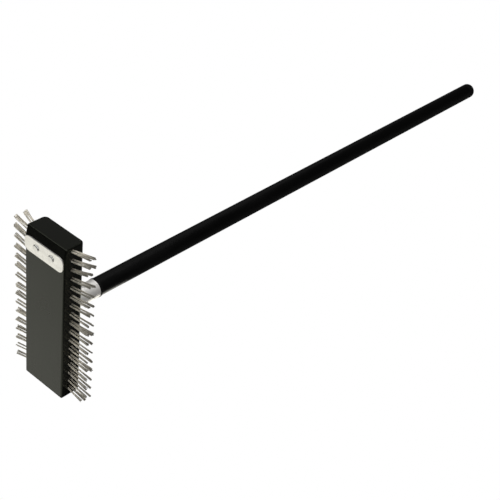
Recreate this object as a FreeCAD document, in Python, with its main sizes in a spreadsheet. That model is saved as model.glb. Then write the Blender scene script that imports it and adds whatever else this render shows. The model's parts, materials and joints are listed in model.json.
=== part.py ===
import FreeCAD, Part
import math
import os
import Sketcher

# Long-handled grill brush.  Each piece is drawn in the brush's own axes: x runs along the
# handle away from the head, y across the head, z along the head, and the middle of the head's
# back face is the zero point.  At the end all pieces are turned and moved together, so that
# the brush stands on the back lower edge of its head and on the tip of its handle.

SIZES = {
    # head block
    "block_length": 216.3,
    "block_width": 65.5,
    "block_depth": 29,
    "edge_round": 2,
    "back_round": 6,
    "bevel_height": 12,
    "bevel_depth": 3,
    # wire tufts, one row of holes down each long side
    "row_pitch": 12.5,
    "row_raise": 2.7,
    "hole_setback": 12.4,
    "hole_dia": 6.6,
    "hole_deep": 11,
    "drill_over_run": 2,
    "fan_angle": 13,
    "tuft_reach": 33,
    "leg_spacing": 3.8,
    "leg_root_dia": 2.4,
    "leg_tip_dia": 3,
    "loop_length": 5.8,
    "loop_width": 2,
    "loop_thick": 1.5,
    # flat wire anchors that hold the folded wires down in their holes
    "anchor_length": 5.6,
    "anchor_width": 2.4,
    "anchor_thick": 0.6,
    # scraper strip and its two rivets
    "scraper_height": 19.7,
    "scraper_length": 64,
    "scraper_thick": 1.5,
    "scraper_drop": 10.9,
    "scraper_corner": 7.5,
    "rivet_spacing": 25,
    "rivet_head_dia": 9,
    "rivet_head_rise": 1.3,
    "rivet_head_round": 1.2,
    "rivet_shank_dia": 4.8,
    "rivet_shank_length": 16,
    # ferrule, screwed into the block, and its two drive pins
    "stud_dia": 19,
    "stud_length": 24,
    "stud_chamfer": 1.5,
    "ferrule_length": 47,
    "ferrule_floor": 14,
    "pin_station": 30,
    "pin_dia": 3,
    "pin_length": 4.5,
    "pin_head_dia": 5,
    "pin_head_rise": 0.8,
    "pin_head_round": 0.7,
    # handle
    "handle_dia": 23,
    "handle_reach": 871.5,
    "tube_dia": 20.6,
    "tube_wall": 1.2,
    "ring_dia": 24,
    "ring_width": 3,
    "ring_round": 0.6,
    "cap_round": 9,
    "cap_length": 17,
    "plug_length": 24,
    "plug_chamfer": 1,
    # gap around each piece that slides into another, and behind its end in a blind hole
    "fit_gap": 0.1,
    "end_gap": 1,
}
ROWS = 17
LEAST_CUT = 1  # mm3
SIDES = {"left": 1, "right": -1}

doc = FreeCAD.newDocument("grill_brush")
sheet = doc.addObject("Spreadsheet::Sheet", "sizes")
pieces = []


def fill_sheet():
    for row, (name, value) in enumerate(SIZES.items(), 1):
        sheet.set(f"A{row}", name)
        sheet.set(f"B{row}", str(value))
        sheet.setAlias(f"B{row}", name)
    doc.recompute()


def size(name):
    return float(sheet.get(name))


def finish(piece, label, x=0, y=0, z=0):
    """Name a finished piece, set it at its place on the brush and list it for writing."""
    piece.Label = label
    piece.Placement.Base = FreeCAD.Vector(x, y, z)
    pieces.append(piece)


# ---------------------------------------------------------------- sketches and features

def new_body(name):
    return doc.addObject("PartDesign::Body", name)


def new_sketch(body, name, role):
    sketch = body.newObject("Sketcher::SketchObject", name)
    plane = next(f for f in body.Origin.OriginFeatures if f.Role == role)
    sketch.AttachmentSupport = [(plane, "")]
    sketch.MapMode = "FlatFace"
    return sketch


def hold_point(sketch, curve, end, across, up):
    """Hold one point of a curve at a place given by two expressions of the sheet's cells."""
    for kind, expression in (("DistanceX", across), ("DistanceY", up)):
        number = sketch.addConstraint(Sketcher.Constraint(kind, -1, 1, curve, end, 1.0))
        sketch.setExpression(f"Constraints[{number}]", expression)


def draw_polygon(sketch, corners):
    """Draw a closed outline through corners, each a pair of expressions."""
    count = len(corners)
    turn = 2 * math.pi / count
    start = [FreeCAD.Vector(math.cos(i * turn), math.sin(i * turn), 0) for i in range(count)]
    for i in range(count):
        sketch.addGeometry(Part.LineSegment(start[i], start[(i + 1) % count]), False)
    for i in range(count):
        sketch.addConstraint(Sketcher.Constraint("Coincident", i, 2, (i + 1) % count, 1))
    for i, (across, up) in enumerate(corners):
        hold_point(sketch, i, 1, across, up)


def draw_circle(sketch, across, up, diameter):
    """Draw a circle whose centre and diameter are expressions."""
    centre = FreeCAD.Vector(0, 0, 0)
    curve = sketch.addGeometry(Part.Circle(centre, FreeCAD.Vector(0, 0, 1), 1.0), False)
    hold_point(sketch, curve, 3, across, up)
    number = sketch.addConstraint(Sketcher.Constraint("Diameter", curve, 2.0))
    sketch.setExpression(f"Constraints[{number}]", diameter)


def pad(body, sketch, length, symmetric=False):
    feature = body.newObject("PartDesign::Pad", "Pad")
    feature.Profile = sketch
    feature.SideType = "Symmetric" if symmetric else "One side"
    feature.setExpression("Length", length)
    doc.recompute()
    return feature


def pocket(body, sketch, length, symmetric=False, flip=False):
    """Cut a sketch out of the body, and stop if nothing was cut."""
    before = body.Shape.Volume
    feature = body.newObject("PartDesign::Pocket", "Pocket")
    feature.Profile = sketch
    feature.SideType = "Symmetric" if symmetric else "One side"
    feature.Reversed = flip
    feature.setExpression("Length", length)
    doc.recompute()
    if before - body.Shape.Volume < LEAST_CUT:
        raise RuntimeError(f"{body.Label}: {sketch.Label} cuts nothing")
    return feature


def turn(body, corners):
    """Revolve a closed outline, drawn beside the x axis, all the way around it."""
    sketch = new_sketch(body, "Profile", "XZ_Plane")
    draw_polygon(sketch, corners)
    feature = body.newObject("PartDesign::Revolution", "Revolution")
    feature.Profile = sketch
    feature.ReferenceAxis = (sketch, ["H_Axis"])
    feature.Angle = 360
    doc.recompute()
    return feature


def round_edges(body, base, radius, wanted, kind="PartDesign::Fillet"):
    """Fillet or chamfer the edges of base that the function wanted picks."""
    names = [f"Edge{i}" for i, edge in enumerate(base.Shape.Edges, 1) if wanted(edge)]
    feature = body.newObject(kind, kind.split("::")[1])
    feature.Base = (base, names)
    feature.setExpression("Radius" if kind.endswith("Fillet") else "Size", radius)
    doc.recompute()
    return feature


def circle_at(x, radius):
    """Picks the full circle around the x axis at station x."""
    def wanted(edge):
        curve = edge.Curve
        if not isinstance(curve, Part.Circle):
            return False
        return abs(curve.Center.x - x) < 0.01 and abs(curve.Radius - radius) < 0.01
    return wanted


# ---------------------------------------------------------------- head

def tuft_seats():
    """Give each tuft's side name, row number, mouth point and outward direction."""
    for side, sign in SIDES.items():
        for row in range(ROWS):
            along = row - (ROWS - 1) / 2
            lean = math.radians(size("fan_angle")) * along / ((ROWS - 1) / 2)
            outward = FreeCAD.Vector(0, sign * math.cos(lean), math.sin(lean))
            mouth = FreeCAD.Vector(
                size("hole_setback") - size("block_depth"),
                sign * size("block_width") / 2,
                size("row_raise") + along * size("row_pitch"),
            )
            yield side, row, mouth, outward


def along_hole(mouth, outward, start):
    """Placement whose z axis is the hole's axis, with its zero point start mm outside."""
    rotation = FreeCAD.Rotation(FreeCAD.Vector(0, 0, 1), outward)
    return FreeCAD.Placement(mouth + outward * start, rotation)


def shifted(seat, across, up):
    """A placement beside seat, moved along its own x and y axes."""
    return seat.multiply(FreeCAD.Placement(FreeCAD.Vector(across, up, 0), FreeCAD.Rotation()))


def runs_up(edge):
    return edge.BoundBox.XLength < 0.01 and edge.BoundBox.YLength < 0.01


def make_head_block():
    body = new_body("head_blank")
    outline = new_sketch(body, "Outline", "XZ_Plane")
    front = "-sizes.block_depth"
    top = "sizes.block_length / 2"
    draw_polygon(outline, [
        (front, "-" + top),
        ("0", "-" + top),
        ("0", top),
        (front + " + sizes.bevel_depth", top),
        (front, top + " - sizes.bevel_height"),
    ])
    prism = pad(body, outline, "sizes.block_width", symmetric=True)
    corners = round_edges(body, prism, "sizes.back_round",
                          lambda edge: runs_up(edge) and edge.BoundBox.XMax > -0.01)
    seam = -size("back_round") - 0.01
    round_edges(body, corners, "sizes.edge_round",
                lambda edge: not (runs_up(edge) and edge.BoundBox.XMax > seam))
    socket = new_sketch(body, "Socket", "YZ_Plane")
    draw_circle(socket, "0", "0", "sizes.stud_dia + 2 * sizes.fit_gap")
    pocket(body, socket, "sizes.stud_length + sizes.end_gap")
    rivet_holes = new_sketch(body, "RivetHoles", "YZ_Plane")
    rivet_holes.setExpression("AttachmentOffset.Base.z", "-sizes.block_depth")
    for sign in ("", "-"):
        draw_circle(rivet_holes, sign + "sizes.rivet_spacing / 2",
                    "sizes.block_length / 2 - sizes.scraper_drop - sizes.scraper_height / 2",
                    "sizes.rivet_shank_dia + 2 * sizes.fit_gap")
    pocket(body, rivet_holes, "sizes.rivet_shank_length + sizes.end_gap", flip=True)
    drills = []
    for side, row, mouth, outward in tuft_seats():
        drill = doc.addObject("Part::Cylinder", f"drill_{side}_{row + 1:02d}")
        drill.setExpression("Radius", "sizes.hole_dia / 2")
        drill.setExpression("Height", "sizes.hole_deep + sizes.drill_over_run")
        drill.Placement = along_hole(mouth, outward, -size("hole_deep"))
        drills.append(drill)
    gang = doc.addObject("Part::Compound", "drills")
    gang.Links = drills
    block = doc.addObject("Part::Cut", "head_block")
    block.Base = body
    block.Tool = gang
    doc.recompute()
    finish(block, "head_block")


def make_tufts():
    """Each tuft is wire folded in half: two legs, joined by a loop at the bottom of its hole."""
    for side, row, mouth, outward in tuft_seats():
        name = f"{side}_{row + 1:02d}"
        seat = along_hole(mouth, outward, size("fit_gap") - size("hole_deep"))
        loop = doc.addObject("Part::Box", f"loop_{name}")
        loop.setExpression("Length", "sizes.loop_length")
        loop.setExpression("Width", "sizes.loop_width")
        loop.setExpression("Height", "sizes.loop_thick")
        loop.Placement = shifted(seat, -size("loop_length") / 2, -size("loop_width") / 2)
        members = [loop]
        for sign in (-1, 1):
            leg = doc.addObject("Part::Cone", f"leg_{name}")
            leg.setExpression("Radius1", "sizes.leg_root_dia / 2")
            leg.setExpression("Radius2", "sizes.leg_tip_dia / 2")
            leg.setExpression("Height", "sizes.hole_deep - sizes.fit_gap + sizes.tuft_reach")
            leg.Placement = shifted(seat, sign * size("leg_spacing") / 2, 0)
            members.append(leg)
        tuft = doc.addObject("Part::MultiFuse", f"tuft_row_{name}")
        tuft.Shapes = members
        doc.recompute([tuft])
        finish(tuft, f"tuft_row_{name}")


def make_anchors():
    """A flat piece of wire holds each tuft's loop down, one group of them for each side."""
    plates = {}
    lift = size("loop_thick") + 2 * size("fit_gap") - size("hole_deep")
    for side, row, mouth, outward in tuft_seats():
        plate = doc.addObject("Part::Box", f"anchor_{side}_{row + 1:02d}")
        plate.setExpression("Length", "sizes.anchor_thick")
        plate.setExpression("Width", "sizes.anchor_length")
        plate.setExpression("Height", "sizes.anchor_width")
        seat = along_hole(mouth, outward, lift)
        plate.Placement = shifted(seat, -size("anchor_thick") / 2, -size("anchor_length") / 2)
        plates.setdefault(f"tuft_anchors_{side}", []).append(plate)
    for label, group in plates.items():
        anchors = doc.addObject("Part::Compound", label)
        anchors.Links = group
        doc.recompute([anchors])
        finish(anchors, label)


def scraper_middle():
    return size("block_length") / 2 - size("scraper_drop") - size("scraper_height") / 2


def make_scraper_plate():
    body = new_body("scraper_plate")
    outline = new_sketch(body, "Outline", "YZ_Plane")
    end = "sizes.scraper_length / 2"
    edge = "sizes.scraper_height / 2"
    draw_polygon(outline, [
        ("-" + end, "-" + edge),
        (end, "-" + edge),
        (end, edge),
        ("-" + end, edge),
    ])
    strip = pad(body, outline, "sizes.scraper_thick")
    thick = size("scraper_thick")
    round_edges(body, strip, "sizes.scraper_corner",
                lambda edge: abs(edge.Length - thick) < 0.01 and edge.BoundBox.XLength > thick / 2)
    holes = new_sketch(body, "RivetHoles", "YZ_Plane")
    for sign in ("", "-"):
        draw_circle(holes, sign + "sizes.rivet_spacing / 2", "0",
                    "sizes.rivet_shank_dia + 2 * sizes.fit_gap")
    pocket(body, holes, "2 * sizes.scraper_thick", flip=True)
    finish(body, "scraper_plate", x=-size("block_depth") - thick, z=scraper_middle())


def make_rivet(label, sign):
    """Domed rivet whose shank runs back along x from under its head."""
    body = new_body(label)
    shank = "sizes.rivet_shank_dia / 2"
    head = "sizes.rivet_head_dia / 2"
    end = "sizes.scraper_thick + sizes.rivet_shank_length"
    blank = turn(body, [
        ("-sizes.rivet_head_rise", "0"),
        (end, "0"),
        (end, shank),
        ("0", shank),
        ("0", head),
        ("-sizes.rivet_head_rise", head),
    ])
    crown = circle_at(-size("rivet_head_rise"), size("rivet_head_dia") / 2)
    round_edges(body, blank, "sizes.rivet_head_round", crown)
    finish(body, label, x=-size("block_depth") - size("scraper_thick"),
           y=sign * size("rivet_spacing") / 2, z=scraper_middle())


# ---------------------------------------------------------------- ferrule and handle

def make_ferrule():
    """Cup for the handle's tube with a stud in front that goes into the block."""
    body = new_body("ferrule")
    skin = "sizes.handle_dia / 2"
    bore = "sizes.tube_dia / 2 + sizes.fit_gap"
    stud = "sizes.stud_dia / 2"
    blank = turn(body, [
        ("-sizes.stud_length", "0"),
        ("sizes.ferrule_floor", "0"),
        ("sizes.ferrule_floor", bore),
        ("sizes.ferrule_length", bore),
        ("sizes.ferrule_length", skin),
        ("0", skin),
        ("0", stud),
        ("-sizes.stud_length", stud),
    ])
    nose = circle_at(-size("stud_length"), size("stud_dia") / 2)
    round_edges(body, blank, "sizes.stud_chamfer", nose, "PartDesign::Chamfer")
    cross_drill(body)
    finish(body, "ferrule")


def cross_drill(body):
    """Drill the two pin holes, above and below the handle's axis."""
    holes = new_sketch(body, "PinHoles", "XY_Plane")
    draw_circle(holes, "sizes.pin_station", "0", "sizes.pin_dia + 2 * sizes.fit_gap")
    pocket(body, holes, "2 * sizes.handle_dia", symmetric=True)


def make_pin(label, sign):
    """Drive pin through the ferrule and the tube, its head on the ferrule."""
    body = new_body(label)
    shank = "sizes.pin_dia / 2"
    head = "sizes.pin_head_dia / 2"
    blank = turn(body, [
        ("-sizes.pin_length", "0"),
        ("sizes.pin_head_rise", "0"),
        ("sizes.pin_head_rise", head),
        ("0", head),
        ("0", shank),
        ("-sizes.pin_length", shank),
    ])
    crown = circle_at(size("pin_head_rise"), size("pin_head_dia") / 2)
    round_edges(body, blank, "sizes.pin_head_round", crown)
    finish(body, label, x=size("pin_station"), z=sign * size("handle_dia") / 2)
    body.Placement.Rotation = FreeCAD.Rotation(FreeCAD.Vector(0, 1, 0), -90 * sign)


def make_handle_tube():
    body = new_body("handle_tube")
    start = "sizes.ferrule_floor + sizes.fit_gap"
    end = "sizes.handle_reach - sizes.cap_length"
    outside = "sizes.tube_dia / 2"
    inside = "sizes.tube_dia / 2 - sizes.tube_wall"
    turn(body, [(start, inside), (end, inside), (end, outside), (start, outside)])
    cross_drill(body)
    finish(body, "handle_tube")


def make_sleeve_ring():
    """Lip at the front end of the sleeve, a little larger than the handle."""
    body = new_body("sleeve_ring")
    start = "sizes.ferrule_length"
    end = "sizes.ferrule_length + sizes.ring_width"
    outside = "sizes.ring_dia / 2"
    inside = "sizes.tube_dia / 2 + sizes.fit_gap"
    blank = turn(body, [(start, inside), (end, inside), (end, outside), (start, outside)])
    radius = size("ring_dia") / 2
    front = circle_at(size("ferrule_length"), radius)
    back = circle_at(size("ferrule_length") + size("ring_width"), radius)
    round_edges(body, blank, "sizes.ring_round", lambda edge: front(edge) or back(edge))
    finish(body, "sleeve_ring")


def make_handle_sleeve():
    body = new_body("handle_sleeve")
    start = "sizes.ferrule_length + sizes.ring_width"
    end = "sizes.handle_reach - sizes.cap_length"
    outside = "sizes.handle_dia / 2"
    inside = "sizes.tube_dia / 2 + sizes.fit_gap"
    turn(body, [(start, inside), (end, inside), (end, outside), (start, outside)])
    finish(body, "handle_sleeve")


def make_end_cap():
    """Round cap with a plug that is pushed into the tube."""
    body = new_body("end_cap")
    skirt = "sizes.handle_reach - sizes.cap_length"
    foot = skirt + " - sizes.plug_length"
    plug = "sizes.tube_dia / 2 - sizes.tube_wall - sizes.fit_gap"
    skin = "sizes.handle_dia / 2"
    blank = turn(body, [
        (foot, "0"),
        ("sizes.handle_reach", "0"),
        ("sizes.handle_reach", skin),
        (skirt, skin),
        (skirt, plug),
        (foot, plug),
    ])
    crown = circle_at(size("handle_reach"), size("handle_dia") / 2)
    dome = round_edges(body, blank, "sizes.cap_round", crown)
    plug_radius = size("tube_dia") / 2 - size("tube_wall") - size("fit_gap")
    nose = circle_at(size("handle_reach") - size("cap_length") - size("plug_length"), plug_radius)
    round_edges(body, dome, "sizes.plug_chamfer", nose, "PartDesign::Chamfer")
    finish(body, "end_cap")


# ---------------------------------------------------------------- whole brush

def rest_turn():
    """Droop of the handle when the head's back lower edge and the tip lie on one plane.

    Both are round there, so this is the slope of the line that touches two circles.
    """
    edge_round = size("edge_round")
    tip_round = size("cap_round")
    run = size("handle_reach") - tip_round + edge_round
    rise = size("block_length") / 2 - edge_round - (size("handle_dia") / 2 - tip_round)
    droop = math.atan2(rise, run) - math.asin((tip_round - edge_round) / math.hypot(run, rise))
    return FreeCAD.Rotation(FreeCAD.Vector(0, 1, 0), math.degrees(droop))


def stand_up():
    """Turn the brush to its resting pose, with the zero point under the middle of its box."""
    turned = FreeCAD.Placement(FreeCAD.Vector(), rest_turn())
    for piece in pieces:
        piece.Placement = turned.multiply(piece.Placement)
    doc.recompute()
    box = Part.makeCompound([piece.Shape for piece in pieces]).optimalBoundingBox(False)
    middle = FreeCAD.Vector(box.Center.x, box.Center.y, box.ZMin)
    for piece in pieces:
        piece.Placement.Base = piece.Placement.Base - middle
    doc.recompute()


def check_all():
    for thing in doc.Objects:
        for trouble in ("Invalid", "Error"):
            if trouble in thing.State:
                raise RuntimeError(f"{thing.Label} is {thing.State}")
    for piece in pieces:
        if piece.Shape.isNull() or not piece.Shape.isValid():
            raise RuntimeError(f"{piece.Label} has a bad shape")


def write_all():
    os.makedirs("parts", exist_ok=True)
    for piece in pieces:
        piece.Shape.exportStep(f"parts/{piece.Label}.step")


fill_sheet()
make_head_block()
make_tufts()
make_anchors()
make_scraper_plate()
make_rivet("scraper_rivet_left", 1)
make_rivet("scraper_rivet_right", -1)
make_ferrule()
make_pin("ferrule_pin_top", 1)
make_pin("ferrule_pin_bottom", -1)
make_handle_tube()
make_sleeve_ring()
make_handle_sleeve()
make_end_cap()
stand_up()
check_all()
write_all()
for piece in pieces:
    print(f"{piece.Label}: {len(piece.Shape.Solids)} solid(s), {piece.Shape.Volume:.0f} mm3")
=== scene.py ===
"""A long-handled grill brush, standing on the end of its head with the handle's tip on the floor.

The head is a black block with seventeen tufts of steel wire on each side and a steel scraper on its
front. The brush has three directions of its own, taken from the frame: AWAY runs along the handle
from the head to the tip, ACROSS runs through the head's width to its left, and ALONG runs up the head.
"""

import json
import math
import random

import bmesh
import bpy
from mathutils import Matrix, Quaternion, Vector


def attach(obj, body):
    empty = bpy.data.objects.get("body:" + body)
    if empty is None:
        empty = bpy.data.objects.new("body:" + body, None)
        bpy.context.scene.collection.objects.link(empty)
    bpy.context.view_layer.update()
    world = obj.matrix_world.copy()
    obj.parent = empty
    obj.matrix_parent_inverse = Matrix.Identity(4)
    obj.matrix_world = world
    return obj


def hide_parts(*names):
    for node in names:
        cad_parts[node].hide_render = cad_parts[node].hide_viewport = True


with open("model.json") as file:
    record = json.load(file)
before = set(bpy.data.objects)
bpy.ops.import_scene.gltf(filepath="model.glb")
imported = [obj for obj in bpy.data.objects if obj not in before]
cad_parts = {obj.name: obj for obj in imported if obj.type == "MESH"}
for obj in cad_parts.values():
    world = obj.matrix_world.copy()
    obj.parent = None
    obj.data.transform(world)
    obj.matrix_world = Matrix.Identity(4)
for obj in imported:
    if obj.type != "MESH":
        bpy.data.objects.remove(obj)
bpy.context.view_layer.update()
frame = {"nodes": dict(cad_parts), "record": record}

MM = 0.001
SIDES = ("left", "right")
ROWS = 17

# the view: angles in degrees, lengths in metres, and the lens and its sensor in millimetres
VIEW_AZIMUTH = 40.264
VIEW_ELEVATION = 40.899
VIEW_ROLL = -3.127
VIEW_AIM = (-0.10052, -0.01164, 0.00559)
VIEW_DISTANCE = 1.5247
LENS = 80.31
SENSOR_WIDTH = 36

# the light
FLOOR_SIZE = 12
FLOOR_GREY = 0.14
WORLD_LIGHT = 0.05
WARM = (1, 0.99, 0.9)
NEUTRAL = (1, 1, 1)
# each softbox: its place, the point it faces, its width and height, its power in watts and its colour
SOFTBOXES = {
    "low_card": ((-0.665, 0.15, 0.002), (-0.665, 0.15, 1), (0.42, 0.56), 0.71, WARM),
    "ferrule_card": ((-0.315, 0.1, 0.002), (-0.315, 0.1, 1), (0.07, 0.3), 0.16, WARM),
    "left_box": ((-1.0, 1.1, 1.7), (-0.4, 0, 0.1), (0.9, 0.9), 6, NEUTRAL),
    "right_box": ((-0.5, -1.3, 1.4), (-0.4, 0, 0.1), (1.2, 1.2), 16, NEUTRAL),
    "overhead": ((0.1, 0.2, 2.0), (0.1, 0.2, 0), (1.4, 1.4), 17, NEUTRAL),
    "back_card": ((0.75, 0.85, 0.95), (-0.3, 0, 0.1), (1.1, 1.1), 0.9, NEUTRAL),
}

# the wires of a tuft, in millimetres
WIRE_WIDTH = 1.2
WIRE_THICK = 0.4
# how many wires a leg has, and how many stations there are along a wire
WIRES = 14
WIRE_STATIONS = 7
# the radius of a leg at its root, and the least and the most that it has at its tip
ROOT_SPREAD = 0.45
TIP_SPREAD = (0.8, 2.1)
# at the tip a wire keeps this share of its place in the leg, and strays by up to this share besides
PLACE_KEPT = 0.8
PLACE_STRAY = 0.35
# a wire is up to this much shorter than its leg
SHORTEST = 4
# a leg is straight for this share of its length, then bends with this power of what is left
FREE_FROM = 0.22
BEND_POWER = 1.3
# a tuft leans up or down the head by about this much at its tips
LEAN = 0.5
# painted shade: the right wires are painted darker towards their tips, between these places across the head,
# in metres
PAINTED_SHADE_FULL = -0.064
PAINTED_SHADE_START = -0.044

# how far use has moved a leg's tip, in millimetres: to the back, up the head and back in
WORN = {
    ("left", "front"): (0, -1, 3),
    ("left", "back"): (0, -1, 1),
    ("right", "front"): (1, 0.5, 3),
    ("right", "back"): (2, 0.5, 1),
}
# towards the ends of the head the tips have moved more: the lowest and the highest row by this besides
WORN_BELOW = {"left": (-1, 0, 0), "right": (1, -1, 0)}
WORN_ABOVE = {"left": (-3, 5, -0.5), "right": (0, 0, 0)}
UNBENT = (0, 0, 0)
# rows that have been bent or broken besides
BENT = {
    ("right", 1): (0, 2, 8),
    ("right", 15): (-3, 5, 1),
    ("right", 17): (0, -2, 0),
    ("left", 1): (0, 1, 0),
    ("left", 16): (0, 0, 1),
    ("left", 17): (5, -5, 12),
}
# rows that have lost wires, with the number left in each leg
THINNED = {("left", 1): 5, ("left", 2): 8, ("right", 17): 8}


# ---- the brush's own directions ----

def mount(name):
    return next(m for m in frame["record"]["mounts"] if m["name"] == name)


AWAY = Vector(mount("grip")["axis"]).normalized()
ACROSS = Vector((0, 1, 0))
ALONG = AWAY.cross(ACROSS)


def node_points(name):
    return [v.co.copy() for v in frame["nodes"][name].data.vertices]


def middle(points):
    return sum(points, Vector()) / len(points)


# ---- materials ----

class Nodes:
    """A material's node tree, with short ways to add nodes and to lead them to the surface's shader.

    Its first colour and roughness hold wherever no nodes are led to them.
    """

    def __init__(self, name, colour, roughness, metallic=0.0):
        self.material = bpy.data.materials.new(name)
        self.material.use_nodes = True
        self.tree = self.material.node_tree
        self.shader = self.tree.nodes["Principled BSDF"]
        self.set("Base Color", (*colour, 1))
        self.set("Roughness", roughness)
        self.set("Metallic", metallic)

    def set(self, socket, value):
        self.shader.inputs[socket].default_value = value

    def lead(self, socket, source):
        self.link(source, self.shader.inputs[socket])

    def link(self, source, target):
        self.tree.links.new(source, target)

    def add(self, kind, **values):
        node = self.tree.nodes.new(kind)
        for name, value in values.items():
            setattr(node, name, value)
        return node

    def place(self, scale):
        """The point on the surface along AWAY, ACROSS and ALONG, times a scale for each."""
        coordinates = self.add("ShaderNodeTexCoord")
        mapping = self.add("ShaderNodeMapping", vector_type="POINT")
        turn = math.atan2(-AWAY.z, AWAY.x)
        mapping.inputs["Rotation"].default_value = (0, -turn, 0)
        self.link(coordinates.outputs["Object"], mapping.inputs["Vector"])
        stretch = self.add("ShaderNodeVectorMath", operation="MULTIPLY")
        self.link(mapping.outputs["Vector"], stretch.inputs[0])
        stretch.inputs[1].default_value = scale
        return stretch.outputs["Vector"]

    def noise(self, scale, detail):
        """Noise with so many lumps to the metre along each of the brush's directions, from 0 to 1."""
        noise = self.add("ShaderNodeTexNoise")
        noise.inputs["Scale"].default_value = 1.0
        noise.inputs["Detail"].default_value = detail
        noise.inputs["Roughness"].default_value = 0.55
        self.link(self.place(scale), noise.inputs["Vector"])
        return noise.outputs["Fac"]

    def across(self):
        """How far the point lies along ACROSS, in metres."""
        split = self.add("ShaderNodeSeparateXYZ")
        self.link(self.place((1, 1, 1)), split.inputs["Vector"])
        return split.outputs["Y"]

    def times(self, colour, factor):
        scale = self.add("ShaderNodeVectorMath", operation="SCALE")
        self.link(colour, scale.inputs[0])
        self.link(factor, scale.inputs["Scale"])
        return scale.outputs["Vector"]

    def range(self, value, low, high, from_low=0.3, from_high=0.7):
        """The value, spread from the range that it has to the range from low to high, and cut off there."""
        node = self.add("ShaderNodeMapRange")
        node.inputs["From Min"].default_value = from_low
        node.inputs["From Max"].default_value = from_high
        node.inputs["To Min"].default_value = low
        node.inputs["To Max"].default_value = high
        self.link(value, node.inputs["Value"])
        return node.outputs["Result"]

    def colours(self, value, *ends):
        """A colour ramp over the value, between two ends of (place, colour)."""
        ramp = self.add("ShaderNodeValToRGB")
        for element, (place, colour) in zip(ramp.color_ramp.elements, ends):
            element.position = place
            element.color = (*colour, 1)
        self.link(value, ramp.inputs["Fac"])
        return ramp.outputs["Color"]

    def bump(self, *layers):
        """Bumps from layers of (height, depth in millimetres), each on top of the last."""
        normal = None
        for height, depth in layers:
            bump = self.add("ShaderNodeBump")
            bump.inputs["Distance"].default_value = depth * MM
            self.link(height, bump.inputs["Height"])
            if normal:
                self.link(normal, bump.inputs["Normal"])
            normal = bump.outputs["Normal"]
        self.lead("Normal", normal)


def block_paint():
    """Black satin paint over wood: the grain runs up the head and shows as faint streaks."""
    n = Nodes("block_paint", (0.005, 0.005, 0.0045), 0.3)
    n.set("Specular IOR Level", 0.235)
    n.set("Specular Tint", (0.93, 1.0, 0.76, 1))
    streaks = n.noise((900, 900, 18), 5)
    cloud = n.noise((35, 35, 20), 3)
    grit = n.noise((1500, 1500, 1500), 2)
    n.lead("Base Color", n.colours(streaks, (0.3, (0.0015, 0.0016, 0.0013)), (0.7, (0.0035, 0.0036, 0.003))))
    n.lead("Roughness", n.range(cloud, 0.2, 0.28))
    n.bump((streaks, 0.04), (grit, 0.01))
    return n.material


def scraper_finish():
    """Plain steel strip, scratched along its length."""
    n = Nodes("scraper_finish", (0.8, 0.79, 0.77), 0.3, 1.0)
    scratches = n.noise((900, 25, 2500), 4)
    cloud = n.noise((120, 120, 120), 3)
    n.lead("Base Color", n.colours(cloud, (0.3, (0.76, 0.745, 0.725)), (0.7, (0.86, 0.845, 0.82))))
    n.lead("Roughness", n.range(scratches, 0.25, 0.42))
    n.bump((scratches, 0.01))
    return n.material


def rivet_finish():
    """Plain steel, a little uneven from the hammer."""
    n = Nodes("rivet_finish", (0.78, 0.77, 0.75), 0.35, 1.0)
    cloud = n.noise((600, 600, 600), 3)
    n.lead("Roughness", n.range(cloud, 0.28, 0.42))
    n.bump((cloud, 0.01))
    return n.material


def wire_finish(name, painted_side_light, painted_tip_shade):
    """Oil-tempered steel wire, dark in patches.

    Its colour is scaled by a painted light factor for its side of the head, and towards the right tips by a
    painted shade factor besides.
    """
    n = Nodes(name, (0.6, 0.58, 0.54), 0.5, 0.4)
    patches = n.noise((900, 50, 900), 4)
    draw_marks = n.noise((3000, 200, 3000), 2)
    steel_colour = n.colours(patches, (0.32, (0.45, 0.425, 0.36)), (0.62, (0.95, 0.9, 0.79)))
    # painted shade: the wire colour darkens towards the right tips
    wear_and_painted_shade = n.range(n.across(), painted_tip_shade * painted_side_light, painted_side_light, PAINTED_SHADE_FULL, PAINTED_SHADE_START)
    n.lead("Base Color", n.times(steel_colour, wear_and_painted_shade))
    n.lead("Roughness", n.range(patches, 0.42, 0.58))
    n.bump((draw_marks, 0.01))
    return n.material


def ferrule_finish():
    """Satin die-cast metal, turned, with fine rings around it."""
    n = Nodes("ferrule_finish", (0.85, 0.83, 0.8), 0.45, 0.6)
    rings = n.noise((1800, 30, 30), 3)
    n.lead("Roughness", n.range(rings, 0.38, 0.52))
    n.bump((rings, 0.01))
    return n.material


def handle_finish():
    """Smooth black plastic, with a slight orange peel and patches rubbed by hands."""
    n = Nodes("handle_finish", (0.001, 0.001, 0.001), 0.35)
    n.set("Specular IOR Level", 0.15)
    peel = n.noise((260, 260, 260), 2)
    rubbed = n.noise((15, 60, 60), 3)
    n.lead("Roughness", n.range(rubbed, 0.3, 0.42))
    n.bump((peel, 0.02))
    return n.material


def rubber_finish():
    """Dull black rubber with a fine grain."""
    n = Nodes("rubber_finish", (0.002, 0.002, 0.002), 0.6)
    n.set("Specular IOR Level", 0.15)
    grain = n.noise((2200, 2200, 2200), 2)
    n.lead("Roughness", n.range(grain, 0.5, 0.7))
    n.bump((grain, 0.02))
    return n.material


def tube_finish():
    """Drawn steel tube, streaked along its length."""
    n = Nodes("tube_finish", (0.5, 0.5, 0.5), 0.4, 1.0)
    streaks = n.noise((20, 900, 900), 3)
    n.lead("Roughness", n.range(streaks, 0.3, 0.5))
    return n.material


def put_on(material, *names):
    for name in names:
        for slot in frame["nodes"][name].material_slots:
            slot.material = material


# ---- wires ----

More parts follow.
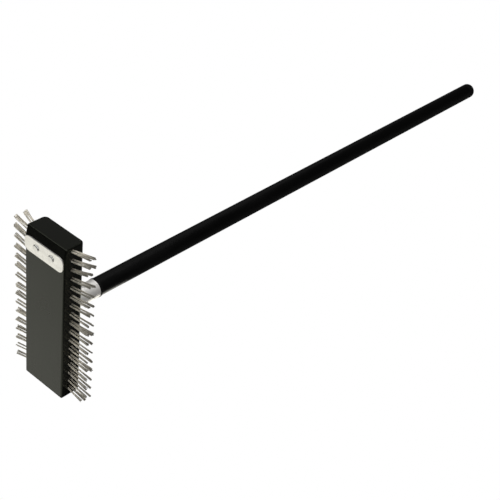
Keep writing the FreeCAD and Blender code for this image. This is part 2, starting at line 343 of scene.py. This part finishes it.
def tuft_ends(name):
    """The middles of the root and the tip of a tuft's front leg and back leg, read from its solid."""
    points = node_points(name)
    inner = min(abs(p.y) for p in points)
    outer = max(abs(p.y) for p in points)
    root = middle([p for p in points if abs(p.y) < inner + 1 * MM])
    tips = [p for p in points if abs(p.y) > outer - 1 * MM]
    tip = middle(tips)
    ends = []
    for front in (True, False):
        leg_tip = middle([p for p in tips if ((p - tip).dot(AWAY) < 0) == front])
        ends.append((root + leg_tip - tip, leg_tip))
    return ends


def disc_point(dice, radius):
    """A point in a disc, evenly spread."""
    angle = dice.uniform(0, 2 * math.pi)
    reach = radius * math.sqrt(dice.random())
    return math.cos(angle) * reach, math.sin(angle) * reach


def add_wire(mesh, path, breadth, depth):
    """A flat wire along a path, with its width along breadth and its thickness along depth."""
    half_width = breadth * (WIRE_WIDTH * MM / 2)
    half_thick = depth * (WIRE_THICK * MM / 2)
    rings = []
    for point in path:
        corners = [
            point + half_width + half_thick,
            point - half_width + half_thick,
            point - half_width - half_thick,
            point + half_width - half_thick,
        ]
        rings.append([mesh.verts.new(corner) for corner in corners])
    for ring, following in zip(rings, rings[1:]):
        for corner in range(4):
            nearby = (corner + 1) % 4
            mesh.faces.new((ring[corner], ring[nearby], following[nearby], following[corner]))
    mesh.faces.new(list(reversed(rings[0])))
    mesh.faces.new(rings[-1])


def worn_tip(side, row, leg, tip):
    """Where the tip of a leg is after use has bent its wires."""
    height = (2 * row - ROWS - 1) / (ROWS - 1)
    more = WORN_ABOVE[side] if height > 0 else WORN_BELOW[side]
    outward = ACROSS if side == "left" else -ACROSS
    shifts = zip(WORN[side, leg], more, BENT.get((side, row), UNBENT))
    back, up, short = [wear_and_painted_shade + abs(height) * further + bent for wear_and_painted_shade, further, bent in shifts]
    return tip + (AWAY * back + ALONG * up - outward * short) * MM


def add_leg(mesh, dice, wires, root, tip, new_tip):
    """One leg of a tuft, of so many wires: straight out of its hole, then bending over to its new tip."""
    axis = (tip - root).normalized()
    first = axis.cross(AWAY).normalized()
    second = axis.cross(first)
    tip_spread = dice.uniform(*TIP_SPREAD)
    for _ in range(wires):
        start_a, start_b = disc_point(dice, 1)
        end_a = start_a * PLACE_KEPT + dice.uniform(-PLACE_STRAY, PLACE_STRAY)
        end_b = start_b * PLACE_KEPT + dice.uniform(-PLACE_STRAY, PLACE_STRAY)
        start = root + (first * start_a + second * start_b) * ROOT_SPREAD * MM
        splay = (first * (end_a * tip_spread - start_a * ROOT_SPREAD)
                 + second * (end_b * tip_spread - start_b * ROOT_SPREAD)) * MM
        length = (tip - root).length - dice.random() ** 2 * SHORTEST * MM
        roll = dice.uniform(0, math.pi)
        breadth = first * math.cos(roll) + second * math.sin(roll)
        depth = axis.cross(breadth)
        path = []
        for station in range(WIRE_STATIONS):
            share = station / (WIRE_STATIONS - 1)
            free = max(0, (share - FREE_FROM) / (1 - FREE_FROM)) ** BEND_POWER
            path.append(start + axis * length * share + (splay + new_tip - tip) * free)
        add_wire(mesh, path, breadth, depth)


def tuft_row(side, row, material):
    """The wires of one tuft, in place of its solid."""
    node = f"tuft_row_{side}_{row:02d}"
    dice = random.Random(f"{side} {row}")
    mesh = bmesh.new()
    wires = THINNED.get((side, row), WIRES)
    lean = ALONG * dice.gauss(0, LEAN) * MM
    for leg, (root, tip) in zip(("front", "back"), tuft_ends(node)):
        add_leg(mesh, dice, wires, root, tip, worn_tip(side, row, leg, tip) + lean)
    data = bpy.data.meshes.new(f"wires_{side}_{row:02d}")
    mesh.to_mesh(data)
    mesh.free()
    data.materials.append(material)
    tuft = bpy.data.objects.new(data.name, data)
    bpy.context.collection.objects.link(tuft)
    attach(tuft, "root")
    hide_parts(node)


# ---- the stage ----

def white_to_camera(tree, white_kind, other, target):
    """Makes a surface or a sky plain white where the camera looks straight at it, and other elsewhere."""
    path = tree.nodes.new("ShaderNodeLightPath")
    white = tree.nodes.new(white_kind)
    white.inputs["Color"].default_value = (1, 1, 1, 1)
    mix = tree.nodes.new("ShaderNodeMixShader")
    tree.links.new(path.outputs["Is Camera Ray"], mix.inputs["Fac"])
    tree.links.new(other, mix.inputs[1])
    tree.links.new(white.outputs[0], mix.inputs[2])
    tree.links.new(mix.outputs[0], target)


def lay_floor():
    bpy.ops.mesh.primitive_plane_add(size=FLOOR_SIZE)
    floor = bpy.context.object
    floor.name = "floor"
    n = Nodes("floor_paper", (FLOOR_GREY, FLOOR_GREY, FLOOR_GREY), 0.9)
    n.set("Specular IOR Level", 0.1)
    output = n.tree.nodes["Material Output"]
    white_to_camera(n.tree, "ShaderNodeEmission", n.shader.outputs["BSDF"], output.inputs["Surface"])
    floor.data.materials.append(n.material)


def light_sky():
    world = bpy.data.worlds.new("studio")
    bpy.context.scene.world = world
    world.use_nodes = True
    tree = world.node_tree
    sky = tree.nodes["Background"]
    sky.inputs["Color"].default_value = (1, 1, 1, 1)
    sky.inputs["Strength"].default_value = WORLD_LIGHT
    output = tree.nodes["World Output"]
    white_to_camera(tree, "ShaderNodeBackground", sky.outputs["Background"], output.inputs["Surface"])


def add_softbox(name, place, aim, size, power, colour):
    light = bpy.data.lights.new(name, "AREA")
    light.shape = "RECTANGLE"
    light.size, light.size_y = size
    light.energy = power
    light.color = colour
    holder = bpy.data.objects.new(name, light)
    bpy.context.collection.objects.link(holder)
    holder.location = place
    holder.rotation_mode = "QUATERNION"
    holder.rotation_quaternion = (Vector(aim) - Vector(place)).to_track_quat("-Z", "Y")


def light_studio():
    light_sky()
    for name, (place, aim, size, power, colour) in SOFTBOXES.items():
        add_softbox(name, place, aim, size, power, colour)
    bpy.context.scene.view_settings.view_transform = "Standard"


def place_camera():
    elevation = math.radians(VIEW_ELEVATION)
    azimuth = math.radians(VIEW_AZIMUTH)
    ahead = Vector((
        math.cos(elevation) * math.cos(azimuth),
        math.cos(elevation) * math.sin(azimuth),
        -math.sin(elevation),
    ))
    lens = bpy.data.cameras.new("camera")
    lens.lens = LENS
    lens.sensor_width = SENSOR_WIDTH
    camera = bpy.data.objects.new("camera", lens)
    bpy.context.collection.objects.link(camera)
    camera.location = Vector(VIEW_AIM) - ahead * VIEW_DISTANCE
    camera.rotation_mode = "QUATERNION"
    level = ahead.to_track_quat("-Z", "Y")
    camera.rotation_quaternion = level @ Quaternion((0, 0, 1), math.radians(-VIEW_ROLL))
    bpy.context.scene.camera = camera


# ---- the brush ----

put_on(block_paint(), "head_block")
put_on(scraper_finish(), "scraper_plate")
put_on(rivet_finish(), "scraper_rivet_left", "scraper_rivet_right", "ferrule_pin_top", "ferrule_pin_bottom")
put_on(ferrule_finish(), "ferrule")
put_on(handle_finish(), "handle_sleeve")
put_on(rubber_finish(), "sleeve_ring", "end_cap")
put_on(tube_finish(), "handle_tube")

# painted light: the same steel wire is made brighter on the right side than on the left, and the right tips
# also get painted shade
steel = {
    "left": wire_finish("wire_left", 0.94, 1),
    "right": wire_finish("wire_right", 1.05, 0.36),
}
for side in SIDES:
    put_on(steel[side], f"tuft_anchors_{side}")
    for row in range(1, ROWS + 1):
        tuft_row(side, row, steel[side])

lay_floor()
light_studio()
place_camera()
